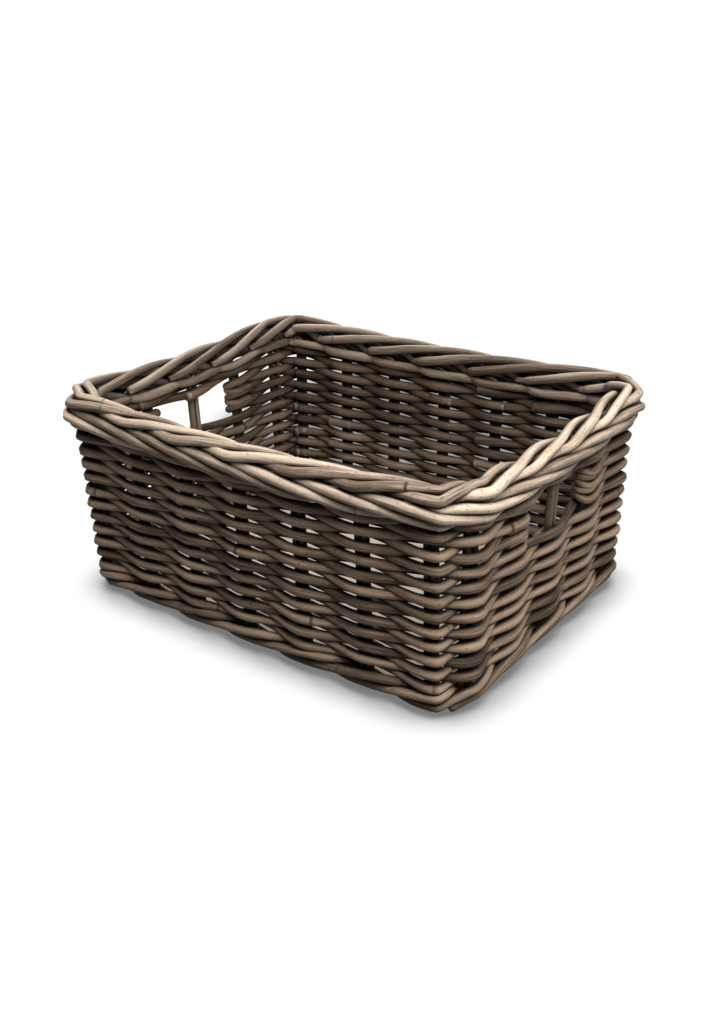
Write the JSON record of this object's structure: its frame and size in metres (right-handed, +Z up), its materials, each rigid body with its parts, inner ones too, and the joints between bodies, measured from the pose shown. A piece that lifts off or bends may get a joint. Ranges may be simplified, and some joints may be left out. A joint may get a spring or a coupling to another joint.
{
  "type": "rattan basket",
  "caption": "Rectangular open rattan basket with paired stakes, plain weave, a plaited border and a grip hole in each short wall.",
  "frame": {"origin": "on the floor under the middle of the basket", "axes": "+X along the basket's length towards one short wall, +Y across its width towards the back long wall, +Z up"},
  "size_m": [0.4234, 0.3292, 0.189],
  "materials": {
    "border_rattan": "pale weathered rattan, satin",
    "wall_rattan": "grey-brown rattan, satin",
    "base_board": "pale plywood, sanded"
  },
  "bodies": {
    "root": {"stake_01": "border_rattan", "stake_02": "border_rattan", "stake_03": "border_rattan", "stake_04": "border_rattan", "stake_05": "border_rattan", "stake_06": "border_rattan", "stake_07": "border_rattan", "stake_08": "border_rattan", "stake_09": "border_rattan", "stake_10": "border_rattan", "stake_11": "border_rattan", "stake_12": "border_rattan", "stake_13": "border_rattan", "stake_14": "border_rattan", "stake_15": "border_rattan", "stake_16": "border_rattan", "stake_17": "border_rattan", "stake_18": "border_rattan", "stake_19": "border_rattan", "stake_20": "border_rattan", "stake_21": "border_rattan", "stake_22": "border_rattan", "stake_23": "border_rattan", "stake_24": "border_rattan", "weaver_01_a": "wall_rattan", "weaver_01_b": "wall_rattan", "weaver_02_a": "wall_rattan", "weaver_02_b": "wall_rattan", "weaver_03_a": "wall_rattan", "weaver_03_b": "wall_rattan", "weaver_04_a": "wall_rattan", "weaver_04_b": "wall_rattan", "weaver_05_a": "wall_rattan", "weaver_05_b": "wall_rattan", "weaver_06_a": "wall_rattan", "weaver_06_b": "wall_rattan", "weaver_07_a": "wall_rattan", "weaver_07_b": "wall_rattan", "weaver_08_front": "wall_rattan", "weaver_08_back": "wall_rattan", "weaver_09_front": "wall_rattan", "weaver_09_back": "wall_rattan", "weaver_10_front": "wall_rattan", "weaver_10_back": "wall_rattan", "weaver_11_a": "wall_rattan", "weaver_11_b": "wall_rattan", "foot_rod": "wall_rattan", "foot_wale_a": "wall_rattan", "foot_wale_b": "wall_rattan", "base_board": "base_board"}
  },
  "joints": []
}
